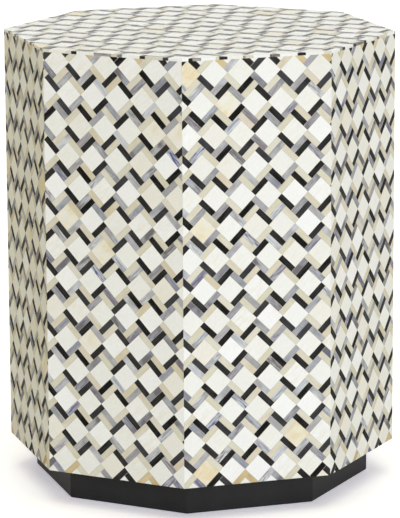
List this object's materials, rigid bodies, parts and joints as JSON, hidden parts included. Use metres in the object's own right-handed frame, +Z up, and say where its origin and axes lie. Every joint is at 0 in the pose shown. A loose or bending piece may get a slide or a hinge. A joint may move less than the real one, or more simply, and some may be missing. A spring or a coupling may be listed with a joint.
{
  "type": "side table",
  "caption": "Closed octagonal drum side table faced with bone inlay laid as squares and strips, on a recessed black plinth.",
  "frame": {"origin": "on the floor, under the middle of the table", "axes": "+Z up along the table's upright axis, -Y out of the front face"},
  "size_m": [0.406, 0.406, 0.508],
  "materials": {
    "inlay": "satin",
    "carcass_board": "matte",
    "batten_wood": "matte",
    "plinth_paint": "satin",
    "screw_steel": "satin",
    "felt": "matte"
  },
  "bodies": {
    "root": {"top_inlay": "inlay", "side_inlay_1": "inlay", "side_inlay_2": "inlay", "side_inlay_3": "inlay", "side_inlay_4": "inlay", "side_inlay_5": "inlay", "side_inlay_6": "inlay", "side_inlay_7": "inlay", "side_inlay_8": "inlay", "top_board": "carcass_board", "bottom_board": "carcass_board", "side_board_1": "carcass_board", "side_board_2": "carcass_board", "side_board_3": "carcass_board", "side_board_4": "carcass_board", "side_board_5": "carcass_board", "side_board_6": "carcass_board", "side_board_7": "carcass_board", "side_board_8": "carcass_board", "mitre_spline_1": "batten_wood", "mitre_spline_2": "batten_wood", "mitre_spline_3": "batten_wood", "mitre_spline_4": "batten_wood", "mitre_spline_5": "batten_wood", "mitre_spline_6": "batten_wood", "mitre_spline_7": "batten_wood", "mitre_spline_8": "batten_wood", "top_cleat_1": "batten_wood", "top_cleat_2": "batten_wood", "top_cleat_3": "batten_wood", "top_cleat_4": "batten_wood", "top_cleat_5": "batten_wood", "top_cleat_6": "batten_wood", "top_cleat_7": "batten_wood", "top_cleat_8": "batten_wood", "plinth_block_1": "batten_wood", "plinth_block_2": "batten_wood", "plinth_block_3": "batten_wood", "plinth_block_4": "batten_wood", "plinth_block_5": "batten_wood", "plinth_block_6": "batten_wood", "plinth_block_7": "batten_wood", "plinth_block_8": "batten_wood", "plinth_board_1": "plinth_paint", "plinth_board_2": "plinth_paint", "plinth_board_3": "plinth_paint", "plinth_board_4": "plinth_paint", "plinth_board_5": "plinth_paint", "plinth_board_6": "plinth_paint", "plinth_board_7": "plinth_paint", "plinth_board_8": "plinth_paint", "cleat_screws": "screw_steel", "plinth_screws": "screw_steel", "felt_pads": "felt"}
  },
  "joints": []
}
